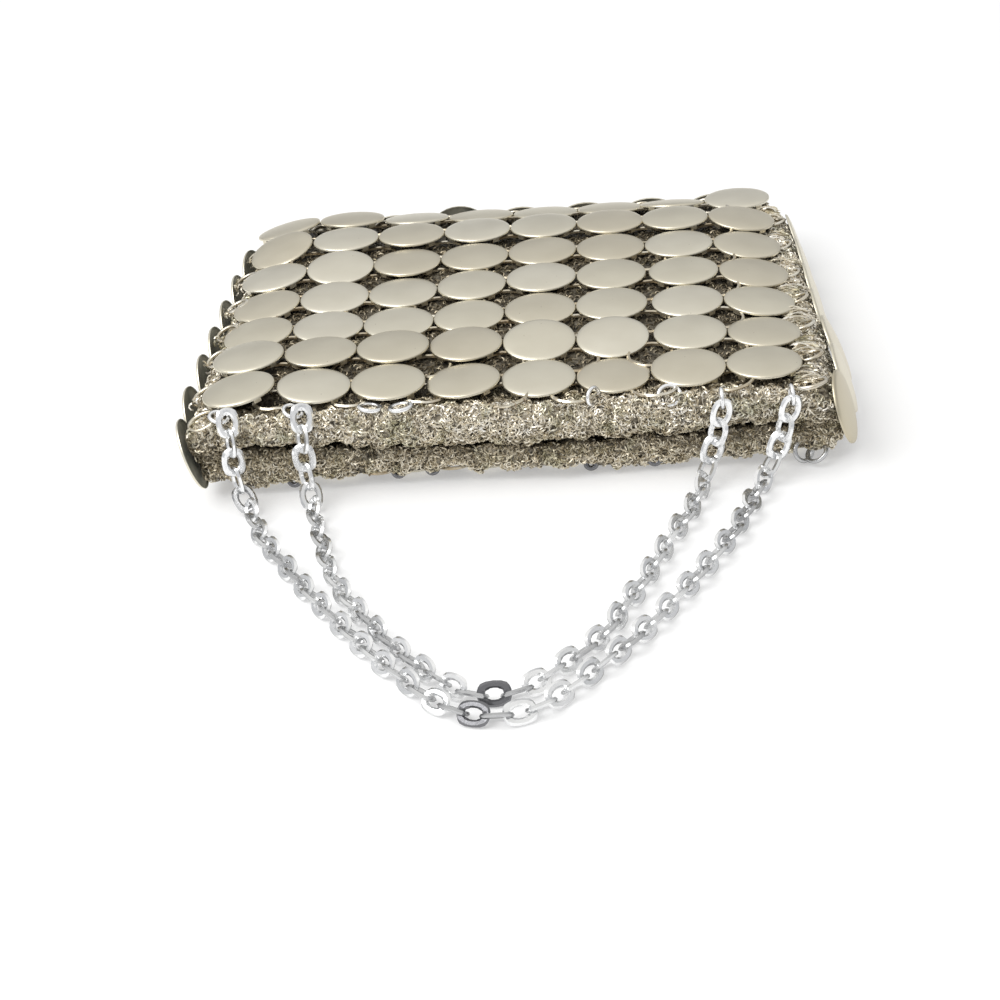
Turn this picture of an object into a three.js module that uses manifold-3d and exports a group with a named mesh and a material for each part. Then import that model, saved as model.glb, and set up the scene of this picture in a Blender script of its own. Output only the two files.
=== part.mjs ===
// Metal disc purse: a flat crocheted pouch covered with a mail of domed metal discs, with two chain handles.
// It lies on its back panel with the mouth towards -Y and the chains laid out in front of it.
// Millimetres, +Z up. X and Y are counted from the middle of the first row of discs, Z from the floor,
// and at the end the whole purse is moved so that the origin is the middle of its footprint.
import * as THREE from 'three';
import { mergeVertices } from 'three/addons/utils/BufferGeometryUtils.js';
import Module from 'manifold-3d';

// Disc: a shallow dome with a flat crown, on a short rim with a flat back
const DISC_SIDES = 10;
const DISC_WIDTH = 23.3; // across the flats: neighbours in a row meet rim to rim
const DISC_DEPTH = 22.7; // across the points: neighbours in a column stay apart
const TIE_DEPTH = 24; // across the points in the tie column, where the rows meet too
const DISC_RIM = 1.4;
const DISC_DOME = 1.4;
const DISC_CROWN = 0.55; // width of the flat crown as a share of the disc
const DISC_HEIGHT = DISC_RIM + DISC_DOME;

// Field of discs
const PITCH = 23;
const COLUMNS = 8;
const ROWS = 7;
const TIE_COLUMN = 4;

// Front panel: a sheet that crowns a little along the bag and falls away at the closed end
const FRONT_HEIGHT = 29.95;
const FRONT_CREST_Y = 50;
const FRONT_BOW = 0.0004;
const FALL_START_Y = 113;
const FALL_RATE = 0.005;

// Degrees that the first and the last disc of each front row turn down towards the sides,
// and that the whole row dips to the right
const ROW_LEANS = [
  { row: 1, left: 0, right: 1, dip: 0 },
  { row: 2, left: 1, right: 4, dip: 0 },
  { row: 3, left: 5, right: 7, dip: 0 },
  { row: 4, left: 7, right: 9, dip: 0 },
  { row: 5, left: 7, right: 9, dip: 0 },
  { row: 6, left: 7, right: 9, dip: 0 },
  { row: 7, left: 12, right: 0, dip: 0.5 },
];

// Discs of the front panel that have turned on their rings, in degrees towards the mouth, with their lift
const TURNED_DISCS = [
  { row: 2, column: 5, turn: 6, lift: 0.1 },
  { row: 2, column: 6, turn: 7, lift: -0.3 },
  { row: 5, column: 2, turn: 7, lift: 0.3 },
  { row: 7, column: 1, turn: 7, lift: 0.4 },
  { row: 7, column: 2, turn: 7, lift: 0.4 },
  { row: 7, column: 8, turn: 13, lift: 0.2 },
];

// The soft pouch leans over as it lies: each level is shifted to +X by this share of its depth below the top
const SLUMP = 0.2;
const SLUMP_TOP = 30;

// Back panel, closed end and narrow sides
const BACK_SHIFT = 1.8; // what the back rows lie further from the mouth than the front ones
const BOTTOM_COUNT = 7; // half a step off the columns
const BOTTOM_ROW_Y = 153;
const BOTTOM_ROW_Z = 11.4;
const BOTTOM_LEAN = 15; // degrees that its faces turn up
const SIDE_COUNT = 7;
const SIDE_PITCH = 21.6; // the side discs lap over one another a little
const SIDE_MIDDLE_Y = 54.8;
const SIDE_Z = 14.5;
const SIDE_FALL = 1.7; // degrees that each column sinks towards the closed end

// Each side: how far its middle disc lies from the centre line, the degrees that the column swings out
// towards the mouth and that its faces turn up, and the degrees that its end discs turn round the corners
const LEFT_SIDE = { direction: -1, reach: 98, flare: 1.7, lean: -11.3, mouthTurn: 6, farTurn: 6 };
const RIGHT_SIDE = { direction: 1, reach: 98.2, flare: 4.1, lean: 17, mouthTurn: 14, farTurn: 0 };

// Pouch sections across the bag, from the closed end along the outside to the lips, and back along the inside.
// Each is a rounded oblong; back is how far its two ends lie behind its middle.
const POUCH_POINTS = 24;
const POUCH_ROUNDING = 5.5;
const POUCH_SECTIONS = [
  { y: 147.6, halfWidth: 80.0, top: 17.5, bottom: 9.0, back: 0 },
  { y: 146.2, halfWidth: 85.0, top: 19.4, bottom: 6.2, back: 0 },
  { y: 142.0, halfWidth: 88.5, top: 20.2, bottom: 4.4, back: 0 },
  { y: 135.0, halfWidth: 90.2, top: 21.4, bottom: 4.0, back: 0 },
  { y: 124.0, halfWidth: 91.4, top: 23.3, bottom: 4.0, back: 0 },
  { y: 100.0, halfWidth: 93.2, top: 26.9, bottom: 4.0, back: 0 },
  { y: 50.0, halfWidth: 96.0, top: 28.0, bottom: 4.0, back: 0 },
  { y: 0.0, halfWidth: 97.3, top: 27.2, bottom: 4.0, back: 0 },
  { y: -8.0, halfWidth: 98.0, top: 27.6, bottom: 3.8, back: 0.5 },
  { y: -11.8, halfWidth: 98.2, top: 28.1, bottom: 3.3, back: 1 },
  { y: -14.3, halfWidth: 97.8, top: 28.2, bottom: 3.2, back: 1.5 },
  { y: -16.2, halfWidth: 96.0, top: 25.4, bottom: 6.4, back: 2 },
  { y: -16.5, halfWidth: 93.0, top: 21.6, bottom: 10.4, back: 2.2 },
  { y: -15.0, halfWidth: 87.0, top: 18.9, bottom: 13.1, back: 2 },
  { y: -11.0, halfWidth: 86.0, top: 18.7, bottom: 13.3, back: 1.5 },
  { y: -7.5, halfWidth: 87.5, top: 20.6, bottom: 11.4, back: 1 },
  { y: -5.0, halfWidth: 92.0, top: 23.4, bottom: 8.2, back: 0.5 },
  { y: -1.0, halfWidth: 94.4, top: 24.7, bottom: 6.8, back: 0 },
  { y: 50.0, halfWidth: 93.2, top: 25.6, bottom: 6.6, back: 0 },
  { y: 106.0, halfWidth: 90.2, top: 23.8, bottom: 6.6, back: 0 },
  { y: 126.0, halfWidth: 88.6, top: 20.7, bottom: 6.6, back: 0 },
  { y: 139.0, halfWidth: 85.8, top: 18.0, bottom: 7.2, back: 0 },
  { y: 144.4, halfWidth: 81.0, top: 16.0, bottom: 10.2, back: 0 },
];

// Chain handles: the line of each chain from its left ring down the lips, over the floor and up to its right ring
const CHAIN_WIDTH = 6;
const CHAIN_SIDES = 8;
const CHAIN_STEP = 12;
const FLOOR_Z = 3.1;
const DROP_Y = -20;
const OUTER_ROUTE = [
  [-82.5, DROP_Y, 23.4], [-82, DROP_Y, 17], [-81.5, DROP_Y - 0.3, 10.5], [-79.6, -22.5, 4.8], [-77, -28.5, FLOOR_Z],
  [-74, -38, FLOOR_Z], [-70.5, -47, FLOOR_Z], [-65.5, -56, FLOOR_Z], [-60, -66.5, FLOOR_Z], [-54, -77.2, FLOOR_Z],
  [-47.8, -88, FLOOR_Z], [-41.2, -98.4, FLOOR_Z], [-33.5, -110.5, FLOOR_Z], [-24, -123.5, FLOOR_Z],
  [-14.8, -134.3, FLOOR_Z], [-4, -141, FLOOR_Z], [6.5, -140.8, FLOOR_Z], [15.5, -135.5, FLOOR_Z],
  [23.6, -126.6, FLOOR_Z], [31.6, -116.8, FLOOR_Z], [38.8, -106.8, FLOOR_Z], [47.8, -92.5, FLOOR_Z],
  [54.8, -79.9, FLOOR_Z], [61.8, -66.6, FLOOR_Z], [68, -53.4, FLOOR_Z], [72, -42.6, FLOOR_Z],
  [76.6, -29.4, FLOOR_Z], [79.6, -23, 4.8], [82.6, DROP_Y - 0.3, 10.4], [84.3, DROP_Y, 17], [86, DROP_Y, 22.6],
];
const INNER_ROUTE = [
  [-60.3, DROP_Y, 23.4], [-60.3, DROP_Y, 17], [-60.2, DROP_Y - 0.3, 10.5], [-59.3, -22.5, 4.8], [-58, -29, FLOOR_Z],
  [-56.2, -38.4, FLOOR_Z], [-53.6, -48, FLOOR_Z], [-50.8, -58.6, FLOOR_Z], [-47.6, -68.4, FLOOR_Z],
  [-40.4, -83, FLOOR_Z], [-34, -94, FLOOR_Z], [-27.6, -104.6, FLOOR_Z], [-20.8, -114.2, FLOOR_Z],
  [-13.6, -123.6, FLOOR_Z], [-6, -130.4, FLOOR_Z], [2, -132.2, FLOOR_Z], [9, -129.2, FLOOR_Z],
  [15.4, -122.4, FLOOR_Z], [22.4, -115.2, FLOOR_Z], [28.6, -106.6, FLOOR_Z], [36.8, -88.2, FLOOR_Z],
  [41.6, -76.8, FLOOR_Z], [45.8, -65.6, FLOOR_Z], [50, -54.4, FLOOR_Z], [54.8, -43, FLOOR_Z],
  [58.6, -31, FLOOR_Z], [60.6, -23.4, 4.8], [63, DROP_Y - 0.3, 11], [65, DROP_Y, 17.4], [66.4, DROP_Y, 22.6],
];

// Rings at the mouth edge that carry the chain ends, lying on the shoulder of the upper lip
const RING_RADIUS = 3.3;
const RING_WIRE = 0.6;
const RING_SIDES = 10;
const RING_WIRE_SIDES = 5;
const RING_CENTRE_Y = -15.9;
const RING_CENTRE_Z = 27.6;
const RING_TILT = 55; // degrees that a ring's face turns from straight up towards the mouth
const RING_END_BACK = 0.7; // what the corner rings lie further back, as the lips do there
const RINGS = [
  { x: -82.5, back: RING_END_BACK },
  { x: -60.3, back: 0 },
  { x: 66.6, back: 0 },
  { x: 86.2, back: RING_END_BACK },
];

// Finishes
const DISC_METAL = { color: 0xcdc4b2, roughness: 0.42, metalness: 0.9 };
const YARN = { color: 0xb5a78c, roughness: 0.6, metalness: 0.35 };
const CHAIN_METAL = { color: 0xdedfe2, roughness: 0.2, metalness: 1 };

const ALONG_X = new THREE.Vector3(1, 0, 0);

const wasm = await Module();
wasm.setup();

// A closed skin over a row of like-numbered rings of points, with a flat end at the first and the last
function loft(rings) {
  const count = rings[0].length;
  const index = [];
  for (let i = 0; i + 1 < rings.length; i += 1) {
    for (let j = 0; j < count; j += 1) {
      const a = i * count + j;
      const b = i * count + ((j + 1) % count);
      index.push(a, b, b + count);
      index.push(a, b + count, a + count);
    }
  }
  const last = (rings.length - 1) * count;
  for (let j = 1; j + 1 < count; j += 1) {
    index.push(0, j + 1, j);
    index.push(last, last + j, last + j + 1);
  }
  const geometry = new THREE.BufferGeometry().setFromPoints(rings.flat());
  geometry.setIndex(index);
  return geometry;
}

// A solid for joining, from a closed geometry
function toSolid(geometry) {
  const bare = geometry.clone();
  bare.deleteAttribute('normal');
  bare.deleteAttribute('uv');
  const welded = mergeVertices(bare);
  const vertProperties = new Float32Array(welded.attributes.position.array);
  const triVerts = new Uint32Array(welded.index.array);
  return new wasm.Manifold(new wasm.Mesh({ numProp: 3, vertProperties, triVerts }));
}

// All the given closed geometries joined into one body
function fuse(geometries) {
  const body = geometries.map(toSolid).reduce((whole, solid) => whole.add(solid));
  const mesh = body.getMesh();
  const geometry = new THREE.BufferGeometry();
  geometry.setAttribute('position', new THREE.BufferAttribute(mesh.vertProperties, 3));
  geometry.setIndex(new THREE.BufferAttribute(mesh.triVerts, 1));
  return geometry;
}

function slump(z) {
  return SLUMP * (SLUMP_TOP - z);
}

// One disc on the XY plane with its dome up; the flats face along X
function discGeometry(depth) {
  const circumradius = 1 / Math.cos(Math.PI / DISC_SIDES);
  const ring = (share, z) => Array.from({ length: DISC_SIDES }, (_, i) => {
    const angle = ((i + 0.5) * 2 * Math.PI) / DISC_SIDES;
    const x = share * (DISC_WIDTH / 2) * circumradius * Math.cos(angle);
    const y = share * (depth / 2) * Math.sin(angle);
    return new THREE.Vector3(x, y, z);
  });
  return loft([ring(1, 0), ring(1, DISC_RIM), ring(DISC_CROWN, DISC_HEIGHT)]);
}

// A row of discs side by side along X with its middle at the origin, domes up and fused rim to rim.
// The first and the last may lean down about the joint with their neighbour, and one may be tied to other rows.
function discRow({ count, pitch = PITCH, leanFirst = 0, leanLast = 0, tied = 0, turned = [] }) {
  const discs = [];
  for (let number = 1; number <= count; number += 1) {
    const disc = discGeometry(number === tied ? TIE_DEPTH : DISC_DEPTH);
    const turn = turned.find(({ column }) => column === number);
    if (turn) {
      disc.rotateX(THREE.MathUtils.degToRad(turn.turn));
      disc.translate(0, 0, turn.lift);
    }
    const edge = number === 1 ? -1 : Number(number === count);
    const lean = number === 1 ? leanFirst : leanLast;
    const joint = (number - (count + 1) / 2 - edge / 2) * pitch;
    disc.translate((edge * pitch) / 2, 0, 0);
    disc.rotateY(edge * THREE.MathUtils.degToRad(lean));
    disc.translate(joint, 0, 0);
    discs.push(disc);
  }
  return fuse(discs);
}

// A row put where its middle, its outward face and its length point
function placeRow(row, middle, outward, length) {
  const z = outward.clone().normalize();
  const y = z.clone().cross(length).normalize();
  const x = y.clone().cross(z);
  return row.applyMatrix4(new THREE.Matrix4().makeBasis(x, y, z).setPosition(middle));
}

// The front rows lie on a sheet that bows along the bag
function frontRow(number) {
  const y = (number - 1) * PITCH;
  const bow = y - FRONT_CREST_Y;
  const fall = Math.max(0, y - FALL_START_Y);
  const height = FRONT_HEIGHT - FRONT_BOW * bow * bow - FALL_RATE * fall * fall;
  const slope = -2 * FRONT_BOW * bow - 2 * FALL_RATE * fall;
  const lean = ROW_LEANS.find(({ row }) => row === number);
  const dip = Math.tan(THREE.MathUtils.degToRad(lean.dip));
  const discs = discRow({
    count: COLUMNS,
    leanFirst: lean.left,
    leanLast: lean.right,
    tied: TIE_COLUMN,
    turned: TURNED_DISCS.filter((disc) => disc.row === number),
  });
  const middle = new THREE.Vector3(0, y, height);
  return placeRow(discs, middle, new THREE.Vector3(dip, -slope, 1), new THREE.Vector3(1, 0, -dip));
}

// The back rows lie flat on the floor on their crowns
function backRow(number) {
  const row = discRow({ count: COLUMNS, tied: TIE_COLUMN });
  const y = (number - 1) * PITCH + BACK_SHIFT;
  const middle = new THREE.Vector3(slump(DISC_HEIGHT), y, DISC_HEIGHT);
  return placeRow(row, middle, new THREE.Vector3(0, 0, -1), ALONG_X);
}

function bottomRow() {
  const middle = new THREE.Vector3(slump(BOTTOM_ROW_Z), BOTTOM_ROW_Y, BOTTOM_ROW_Z);
  const rise = Math.tan(THREE.MathUtils.degToRad(BOTTOM_LEAN));
  return placeRow(discRow({ count: BOTTOM_COUNT }), middle, new THREE.Vector3(0, 1, rise), ALONG_X);
}

// direction is 1 on the right and -1 on the left; the first disc is the one at the mouth
function sideRow({ direction, reach, flare, lean, mouthTurn, farTurn }) {
  const row = discRow({ count: SIDE_COUNT, pitch: SIDE_PITCH, leanFirst: mouthTurn, leanLast: farTurn });
  const swing = THREE.MathUtils.degToRad(flare);
  const fall = Math.tan(THREE.MathUtils.degToRad(SIDE_FALL));
  const rise = Math.tan(THREE.MathUtils.degToRad(lean));
  const middle = new THREE.Vector3(direction * reach + slump(SIDE_Z), SIDE_MIDDLE_Y, SIDE_Z);
  const outward = new THREE.Vector3(direction * Math.cos(swing), Math.sin(swing), rise);
  const length = new THREE.Vector3(-direction * Math.sin(swing), Math.cos(swing), -fall);
  return placeRow(row, middle, outward, length);
}

function panel(makeRow) {
  return fuse(Array.from({ length: ROWS }, (_, i) => makeRow(i + 1)));
}

// One ring of points of the pouch: a rounded oblong with its own height above and below its middle
function pouchRing(section) {
  const middle = (section.top + section.bottom) / 2;
  const half = (section.top - section.bottom) / 2;
  const power = 2 / POUCH_ROUNDING;
  return Array.from({ length: POUCH_POINTS }, (_, i) => {
    const angle = (i * 2 * Math.PI) / POUCH_POINTS;
    const across = Math.sign(Math.cos(angle)) * Math.abs(Math.cos(angle)) ** power;
    const upward = Math.sign(Math.sin(angle)) * Math.abs(Math.sin(angle)) ** power;
    const z = middle + half * upward;
    return new THREE.Vector3(section.halfWidth * across + slump(z), section.y + section.back * across * across, z);
  });
}

// A round tube along the line of a chain
function chainTube(route) {
  const line = new THREE.CatmullRomCurve3(route.map((point) => new THREE.Vector3(...point)));
  const section = new THREE.Shape().absarc(0, 0, CHAIN_WIDTH / 2, 0, 2 * Math.PI);
  return new THREE.ExtrudeGeometry(section, {
    steps: Math.round(line.getLength() / CHAIN_STEP),
    curveSegments: CHAIN_SIDES / 2,
    extrudePath: line,
    bevelEnabled: false,
  });
}

const purse = new THREE.Group();

function addPiece(name, geometry, finish) {
  const piece = new THREE.Mesh(geometry, new THREE.MeshStandardMaterial(finish));
  piece.name = name;
  purse.add(piece);
  return piece;
}

addPiece('pouch', loft(POUCH_SECTIONS.map(pouchRing)), YARN);
addPiece('front_discs', panel(frontRow), DISC_METAL);
addPiece('back_discs', panel(backRow), DISC_METAL);
addPiece('bottom_discs', bottomRow(), DISC_METAL);
addPiece('left_side_discs', sideRow(LEFT_SIDE), DISC_METAL);
addPiece('right_side_discs', sideRow(RIGHT_SIDE), DISC_METAL);
addPiece('outer_chain', chainTube(OUTER_ROUTE), CHAIN_METAL);
addPiece('inner_chain', chainTube(INNER_ROUTE), CHAIN_METAL);
RINGS.forEach(({ x, back }, i) => {
  const geometry = new THREE.TorusGeometry(RING_RADIUS, RING_WIRE, RING_WIRE_SIDES, RING_SIDES);
  const ring = addPiece(`chain_ring_${i + 1}`, geometry, CHAIN_METAL);
  ring.position.set(x, RING_CENTRE_Y + back, RING_CENTRE_Z);
  ring.rotation.x = THREE.MathUtils.degToRad(RING_TILT);
});

// The origin is the middle of the footprint, on the floor
purse.updateMatrixWorld(true);
const box = new THREE.Box3().setFromObject(purse, true);
purse.position.set(-(box.min.x + box.max.x) / 2, -(box.min.y + box.max.y) / 2, -box.min.z);

export default purse;
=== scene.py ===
import math

import bpy
import numpy as np
from mathutils import Matrix, Vector


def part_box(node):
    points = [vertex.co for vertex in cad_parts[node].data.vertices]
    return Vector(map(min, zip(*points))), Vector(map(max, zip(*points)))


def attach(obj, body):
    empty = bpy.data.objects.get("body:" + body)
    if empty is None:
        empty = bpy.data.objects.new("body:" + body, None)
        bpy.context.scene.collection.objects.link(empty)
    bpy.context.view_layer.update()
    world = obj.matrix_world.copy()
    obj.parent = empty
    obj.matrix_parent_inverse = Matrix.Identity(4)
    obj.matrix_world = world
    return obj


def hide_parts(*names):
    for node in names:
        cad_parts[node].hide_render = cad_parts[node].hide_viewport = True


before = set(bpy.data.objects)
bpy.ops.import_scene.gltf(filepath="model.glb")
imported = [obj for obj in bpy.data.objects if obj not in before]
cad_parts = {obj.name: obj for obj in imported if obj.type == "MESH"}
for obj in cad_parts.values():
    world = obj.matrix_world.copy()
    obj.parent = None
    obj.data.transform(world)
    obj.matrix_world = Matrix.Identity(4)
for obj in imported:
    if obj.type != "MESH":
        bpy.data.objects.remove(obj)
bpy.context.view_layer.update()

# Sizes of the purse in millimetres: X across, mouth towards -Y, lying on its back on Z = 0
PITCH = 23.0
COLUMNS = 8
ROWS = 7
DISC_RADIUS = 11.45
DISC_SIDES = 32
DISC_FOOT = 0.35
DISC_SKIRT = 0.4
DOME_STEPS = [(0.1, 0.2), (0.2, 0.16), (1.2, 0.28), (2.0, 0.26), (3.0, 0.23), (3.0, 0.11)]
SHEET_EDGE = 0.28
HOLLOW_WALL = 0.2
HOLLOW_DEPTH = 0.5
HOLLOW_SLOPE = 4.5
TAB_SIZE = (0.4, 2.6, 0.4)
TAB_MIDDLE = (10.85, 0, -0.75)
TAB_STAND = 1.0
TAB_HOOK = (-1.9, 0, 0.1)
TAB_TAPER = 0.75
# Painted shade: the brightness of the turned disc at the right corner of the mouth, drawn darker than the
# others.
TURNED_DISC_SHADE_TONE = 0.0
PLAIN_TONE = 0.15

FRONT_HEIGHT = 29.95
FRONT_CREST_Y = 50.0
FRONT_BOW = 0.0004
FALL_START_Y = 113.0
FALL_RATE = 0.005
# For each row: how far its first and its last disc lean down, and how far the row dips to the right
ROW_LEANS = {
    1: (8, 1, 0), 2: (5.5, 4, 0), 3: (6, 7, 0), 4: (7, 9, 0), 5: (7, 9, 0), 6: (14, 9, 0), 7: (12, 0, 0.5),
}
TURNED_DISCS = {  # row and column: how far the disc tips to the mouth, lifts and rolls
    (1, 1): (-4, 2.6, 0), (1, 2): (-1.5, 0.6, 4.5), (1, 3): (-2, 0.4, 0), (1, 4): (-3, 0, -4.5),
    (1, 6): (-3, -1, 0), (1, 8): (-4, 0, 0),
    (2, 1): (-3, 0.9, 0), (2, 2): (-4, 0, 0), (2, 3): (-3, 0.2, 0),
    (2, 5): (6, 0.1, 0), (2, 6): (7, -0.2, 0), (2, 8): (-4, -0.6, 0),
    (3, 6): (0, 0.5, 0), (3, 8): (-3, 0, 0), (4, 2): (3, 0, 0), (5, 2): (7, 0.3, 0), (6, 1): (9, 0.6, 0),
    (7, 1): (7, 0.6, 0), (7, 2): (7, 0.7, 0), (7, 3): (3, 0, 0), (7, 4): (3, 0, 0), (7, 5): (3, 0, 0),
    (7, 6): (3, 0, 0), (7, 8): (13, 0.2, 0),
}
# For each row from the mouth: how far the front panel has sunk below an even bow at these x,
# and how far its right end has spread outwards
SINK_X = (-80, -34, 11, 80)
ROW_SINK = [
    (-0.3, -0.2, 1.4, 0.6), (-0.3, -0.4, 0.6, 1.2), (2.2, 2.7, 0.9, 1.7), (2.8, 2.5, 0.1, 1.7),
    (2.4, 1.4, 0.4, 1.4), (0.5, 0.2, 0.1, 0.6), (-0.9, 0, 0.7, -0.3),
]
ROW_SPREAD = [-0.2, 1.2, 1.2, 0.8, 0, -0.6, -1.0]
SLUMP = 0.2
SLUMP_TOP = 30.0
BACK_Z = 2.8
BACK_SHIFT = 1.8
BACK_SLIP = 2.6
BOTTOM_COUNT = 7
BOTTOM_Y = 153.0
BOTTOM_Z = 11.3
BOTTOM_SHIFT = -1.3
BOTTOM_LEAN = 24.0
BOTTOM_TIPS = {3: (-16, 0, 0)}
SIDE_COUNT = 7
SIDE_PITCH = 21.6
SIDE_MIDDLE_Y = 54.8
SIDE_Z = 14.5
SIDE_FALL = 1.7
# The side rows, numbered from the mouth: how single discs tip, lift and roll, and how far they are pushed
LEFT_SIDE = dict(
    direction=-1, reach=98.0, flare=2.1, lean=-11.3, mouth_turn=6, far_turn=6,
    turned={1: (-5, 0, 0)},
    pushed={1: (1.0, 0, -1.6), 2: (-0.4, 0, -1.0)},
)
RIGHT_SIDE = dict(
    direction=1, reach=98.6, flare=4.5, lean=21.0, mouth_turn=14, far_turn=0,
    turned={
        1: (4, 0, 0), 2: (2, 0, -6), 3: (-1, 0, -5), 4: (3, 0, -5),
        5: (4, 0, -4), 6: (4, 0, -3), 7: (4, 0, 0),
    },
    pushed={1: (-0.8, 0, 1.8), 3: (1.0, 0, 0), 5: (0.6, 0, 0), 6: (1.0, 0, 0), 7: (1.0, 0, 0)},
)

POUCH_ROUNDING = 5.5
POUCH_AROUND = 220
POUCH_ALONG = 170
POUCH_SECTIONS = [  # y, half width, top, bottom, how far the corners lie back
    (147.6, 80, 17.5, 9, 0), (146.2, 85, 19.4, 6.2, 0), (142, 88.5, 20.2, 4.4, 0), (135, 90.2, 21.4, 4, 0),
    (124, 91.4, 23.3, 4, 0), (100, 93.2, 26.9, 4, 0), (50, 96, 28, 4, 0), (0, 97.3, 27.2, 4, 0),
    (-8, 98, 26.8, 3.8, 0.5), (-11.8, 98.2, 27.4, 3.3, 1), (-14.3, 97.8, 27.7, 3.2, 1.5),
    (-16.2, 96, 25.2, 6.4, 2), (-16.6, 93, 21.2, 10.8, 2.2), (-15, 87, 18.0, 14.2, 2),
    (-11, 86, 17.7, 14.4, 1.5), (-7.5, 87.5, 19.6, 12.4, 1), (-5, 92, 23.4, 8.2, 0.5),
    (-1, 94.4, 24.7, 6.8, 0), (50, 93.2, 25.6, 6.6, 0), (106, 90.2, 23.8, 6.6, 0),
    (126, 88.6, 20.7, 6.6, 0), (139, 85.8, 18, 7.2, 0), (144.4, 81, 16, 10.2, 0),
]

# How the crochet slumps along the mouth: x across, z of the slit, z of the underside,
# how far the lower lip lies back
LIP_LINE = [
    (-98, 16.4, 1.9, 2), (-80, 16.4, 2.3, 2.4), (-62, 16.3, 3.5, 2.8), (-50, 16.2, 4.1, 3.4),
    (-40, 15.6, 4.5, 4.0), (-30, 14.9, 4.4, 4.0), (-18, 14.4, 4.5, 4.2), (0, 13.9, 3.9, 3.2),
    (12, 13.3, 3.7, 2.6), (32, 13.9, 3.5, 2.6), (43, 14.4, 3.2, 2.6), (60, 14.0, 3.3, 2.6),
    (72, 14.2, 2.6, 2.6), (85, 14.4, 2.5, 2.4), (98, 14.6, 2.3, 2),
]
SLIT_Z = 16.0
UNDERSIDE_Z = 3.2
RIGHT_SHOULDER = [(-16, 0.3), (-8, 1.5), (5, 2.6), (60, 2.4), (112, 2.4), (140, 2.6)]

CHAIN_Z = 2.9
DROP_Y = -20.0
OUTER_ROUTE = [
    (-82.4, -16.4, 28.0), (-82.0, -19.0, 23.4), (-81.8, DROP_Y, 17), (-81.5, DROP_Y - 0.3, 10.5),
    (-79.6, -22.5, 4.8), (-77, -28.5, CHAIN_Z), (-74, -38, CHAIN_Z), (-70.5, -47, CHAIN_Z),
    (-65.5, -56, CHAIN_Z), (-60, -66.5, CHAIN_Z), (-54, -77.2, CHAIN_Z),
    (-47.8, -88, CHAIN_Z), (-41.2, -98.4, CHAIN_Z), (-33.5, -110.5, CHAIN_Z), (-24, -123.5, CHAIN_Z),
    (-14.8, -134.3, CHAIN_Z), (-4, -141, CHAIN_Z), (6.5, -140.8, CHAIN_Z), (15.5, -135.5, CHAIN_Z),
    (23.6, -126.6, CHAIN_Z), (31.6, -116.8, CHAIN_Z), (38.8, -106.8, CHAIN_Z), (47.8, -92.5, CHAIN_Z),
    (54.8, -79.9, CHAIN_Z), (61.8, -66.6, CHAIN_Z), (68, -53.4, CHAIN_Z), (72, -42.6, CHAIN_Z),
    (76.6, -29.4, CHAIN_Z), (79.6, -23, 4.8), (82.6, DROP_Y - 0.3, 10.4), (84.8, DROP_Y, 17),
    (86.6, -19.4, 22.6),
]
INNER_ROUTE = [
    (-59.8, -16.4, 28.0), (-60.0, -19.0, 23.4), (-60.2, DROP_Y, 17), (-60.2, DROP_Y - 0.3, 10.5),
    (-59.3, -22.5, 4.8), (-58, -29, CHAIN_Z),
    (-56.2, -38.4, CHAIN_Z), (-53.8, -48, CHAIN_Z), (-51.4, -58.6, CHAIN_Z), (-48.6, -68.4, CHAIN_Z),
    (-42.0, -83, CHAIN_Z), (-35.8, -94, CHAIN_Z), (-29.5, -104.6, CHAIN_Z), (-22.7, -114.2, CHAIN_Z),
    (-15.2, -123.4, CHAIN_Z), (-7, -130.4, CHAIN_Z), (2, -132.2, CHAIN_Z), (9, -129.2, CHAIN_Z),
    (15.4, -122.4, CHAIN_Z), (22.4, -115.2, CHAIN_Z), (28.6, -106.6, CHAIN_Z), (36.8, -88.2, CHAIN_Z),
    (41.6, -76.8, CHAIN_Z), (45.8, -65.6, CHAIN_Z), (50, -54.4, CHAIN_Z), (54.8, -43, CHAIN_Z),
    (58.6, -31, CHAIN_Z), (60.6, -23.4, 4.8), (63, DROP_Y - 0.3, 11), (65.0, DROP_Y, 17.4),
    (66.2, -19.4, 22.6),
]
LINK_PITCH = 6.1
LINK_BEND = 2.1
LINK_WIRE = 0.82
LINK_PULLS = [(0.05, 0.6), (1.5, 0.6), (2.8, 0.6)]
LINK_BAND = (1, 1.22, 0.84)
LINK_HALF_LENGTH = 4.7
LINK_HALF_WIDTH = 3.6
LINK_HALF_THICK = 0.7
# How two neighbouring links roll about the chain: hanging on the left, on the right, lying on the floor
LEFT_HANG = (-12, 50)
RIGHT_HANG = (-50, 12)
FLOOR_LIE = (-42, 50)
STEEP = 0.5
LYING_Z = 6.0
# Painted shade for links lying on edge; then the places of the two links drawn dark as a painted reflection
# of the room.
ON_EDGE_SHADE_TONE = 0.028
ON_EDGE_SPREAD = 0.05
DARK_REFLECTION_LINKS = [(2.8, -131.5), (-3.4, -142.3)]

MAIL_RING_RADIUS = 7.0
MAIL_RING_WIRE = 0.58
# The rings sewn along the mouth, left to right: shift in x, y, lift, tip of the far side, sway
MOUTH_RINGS = [
    (0, -4.2, 0, -5, 0), (0, -4.4, -0.3, -4, 0), (0, -4.6, -0.3, -5, 3), (1.4, -8.4, 0.4, 4, -5),
    (-0.6, -9.0, 0.1, -5, 2), (0.6, -9.0, 0.1, -6, -2), (1.0, -8.4, 0.2, -4, -8),
]
MOUTH_RING_Z = 28.2
BACK_MOUTH_RING_Y = -3.6
BACK_MOUTH_RING_Z = 4.0
BELOW_FRONT = 0.3
ABOVE_BACK = 0.65
EDGE_RING_RADIUS = 3.7
EDGE_RING_WIRE = 0.62
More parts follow.
